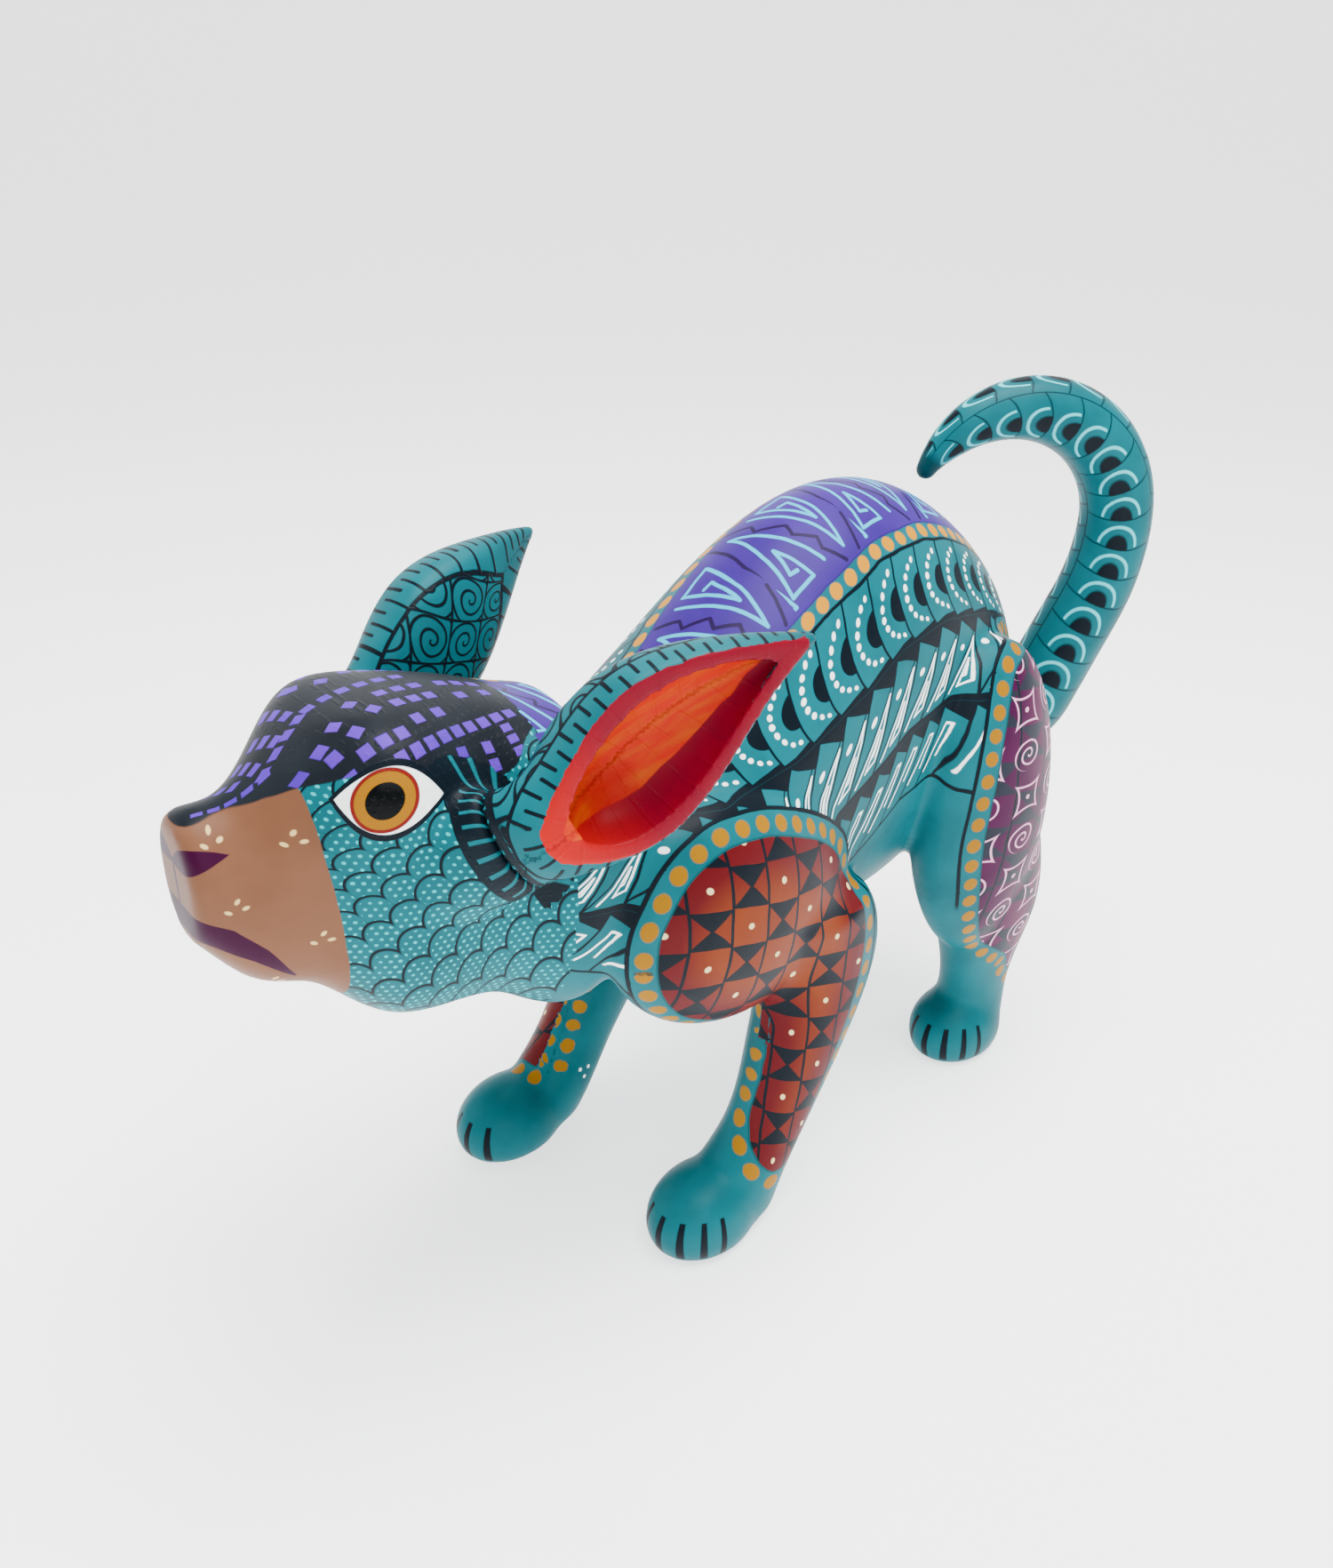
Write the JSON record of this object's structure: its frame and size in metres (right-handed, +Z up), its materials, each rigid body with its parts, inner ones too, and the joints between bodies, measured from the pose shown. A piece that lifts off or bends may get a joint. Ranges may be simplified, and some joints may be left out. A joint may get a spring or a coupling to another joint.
{
  "type": "alebrije figure",
  "caption": "Carved and painted wooden dog standing on four paws, head lowered and turned, with a push-on curled tail and push-on ears.",
  "frame": {"origin": "on the floor under the centre of the whole figure's box", "axes": "+Z up, the dog faces -Y, +X is the dog's left side"},
  "size_m": [0.0802, 0.2228, 0.149],
  "materials": {
    "torso_paint": "satin acrylic paint on wood, teal ground with dense fine ornament",
    "head_paint": "satin acrylic paint on wood, near-black cap, teal cheeks and tan muzzle",
    "leg_paint": "satin acrylic paint on wood, teal with rust or magenta outer panels",
    "ear_paint": "satin acrylic paint on wood, orange hollow, crimson rim and teal back",
    "tail_paint": "satin acrylic paint on wood, teal cells with black half moons",
    "bare_wood": "bare turned hardwood dowel"
  },
  "bodies": {
    "figure": {"torso": "torso_paint", "head": "head_paint", "neck_dowel": "bare_wood", "left_front_leg": "leg_paint", "right_front_leg": "leg_paint", "left_rear_leg": "leg_paint", "right_rear_leg": "leg_paint", "left_front_dowel": "bare_wood", "right_front_dowel": "bare_wood", "left_rear_dowel": "bare_wood", "right_rear_dowel": "bare_wood"},
    "left_ear_peg": {"left_ear_peg": "bare_wood"},
    "left_ear": {"left_ear": "ear_paint"},
    "right_ear_peg": {"right_ear_peg": "bare_wood"},
    "right_ear": {"right_ear": "ear_paint"},
    "tail_peg": {"tail_peg": "bare_wood"},
    "tail": {"tail": "tail_paint"}
  },
  "joints": [
    {"name": "left_ear_pull", "type": "slide", "parent": "figure", "child": "left_ear_peg", "axis": [0.8079, 0.4222, 0.4113], "range_m": [0, 0.009]},
    {"name": "left_ear_twist", "type": "hinge", "parent": "left_ear_peg", "child": "left_ear", "pos_m": [0.01688, -0.07353, 0.10097], "axis": [0.8079, 0.4222, 0.4113], "range_deg": [-40, 15]},
    {"name": "right_ear_pull", "type": "slide", "parent": "figure", "child": "right_ear_peg", "axis": [-0.6148, 0.673, 0.4113], "range_m": [0, 0.009]},
    {"name": "right_ear_twist", "type": "hinge", "parent": "right_ear_peg", "child": "right_ear", "pos_m": [-0.0305, -0.06517, 0.10097], "axis": [-0.6148, 0.673, 0.4113], "range_deg": [-15, 40]},
    {"name": "tail_pull", "type": "slide", "parent": "figure", "child": "tail_peg", "axis": [0.5649, 0.8067, 0.1736], "range_m": [0, 0.012]},
    {"name": "tail_twist", "type": "hinge", "parent": "tail_peg", "child": "tail", "pos_m": [0.00438, 0.07994, 0.0673], "axis": [0.5649, 0.8067, 0.1736], "range_deg": [-60, 60]}
  ]
}
